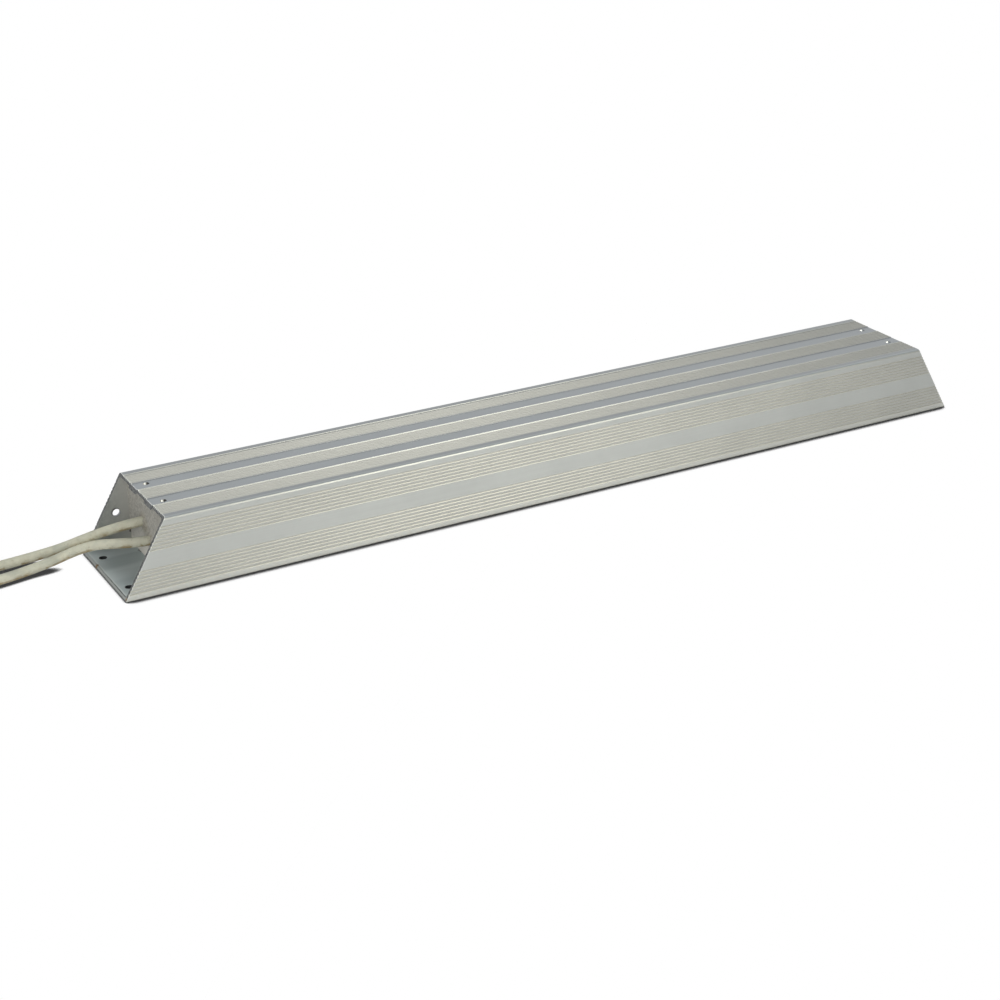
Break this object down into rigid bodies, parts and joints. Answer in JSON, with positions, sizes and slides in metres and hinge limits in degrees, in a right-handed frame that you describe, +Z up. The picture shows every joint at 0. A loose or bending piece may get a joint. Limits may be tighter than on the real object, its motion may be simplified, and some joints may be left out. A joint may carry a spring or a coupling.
{
  "type": "power resistor",
  "caption": "Wire-wound power resistor in a ribbed aluminium box section with slanted ends, fixed by holes in its base, with two flexible leads at one end.",
  "frame": {"origin": "middle of the housing's base, on the surface it stands on", "axes": "+X along the housing to its plain end, the leads leave at the -X end; +Y to the wall with the earth hole; +Z up"},
  "size_m": [1.0618, 0.1123, 0.063],
  "materials": {
    "extruded_aluminium": "satin",
    "cement": "matte",
    "fibre_board": "matte",
    "mica": "satin",
    "ceramic": "matte",
    "resistance_ribbon": "satin",
    "plated_steel": "satin",
    "plated_copper": "satin",
    "quartz_sand": "matte",
    "lead_jacket": "matte",
    "shrunk_sleeve": "satin"
  },
  "bodies": {
    "root": {"housing": "extruded_aluminium", "near_seal": "cement", "far_seal": "cement", "near_board": "fibre_board", "far_board": "fibre_board", "near_card": "fibre_board", "middle_card": "fibre_board", "far_card": "fibre_board", "base_mica": "mica", "top_mica": "mica", "front_mica": "mica", "rear_mica": "mica", "front_former": "ceramic", "rear_former": "ceramic", "front_winding": "resistance_ribbon", "rear_winding": "resistance_ribbon", "front_near_clamp": "plated_steel", "front_far_clamp": "plated_steel", "rear_near_clamp": "plated_steel", "rear_far_clamp": "plated_steel", "rear_strap": "plated_steel", "front_strap": "plated_steel", "link_strap": "plated_steel", "rear_crimp": "plated_copper", "front_crimp": "plated_copper", "rear_terminal": "plated_copper", "front_terminal": "plated_copper", "sand_fill": "quartz_sand", "rear_lead": "lead_jacket", "front_lead": "lead_jacket", "rear_sleeve": "shrunk_sleeve", "front_sleeve": "shrunk_sleeve"}
  },
  "joints": []
}
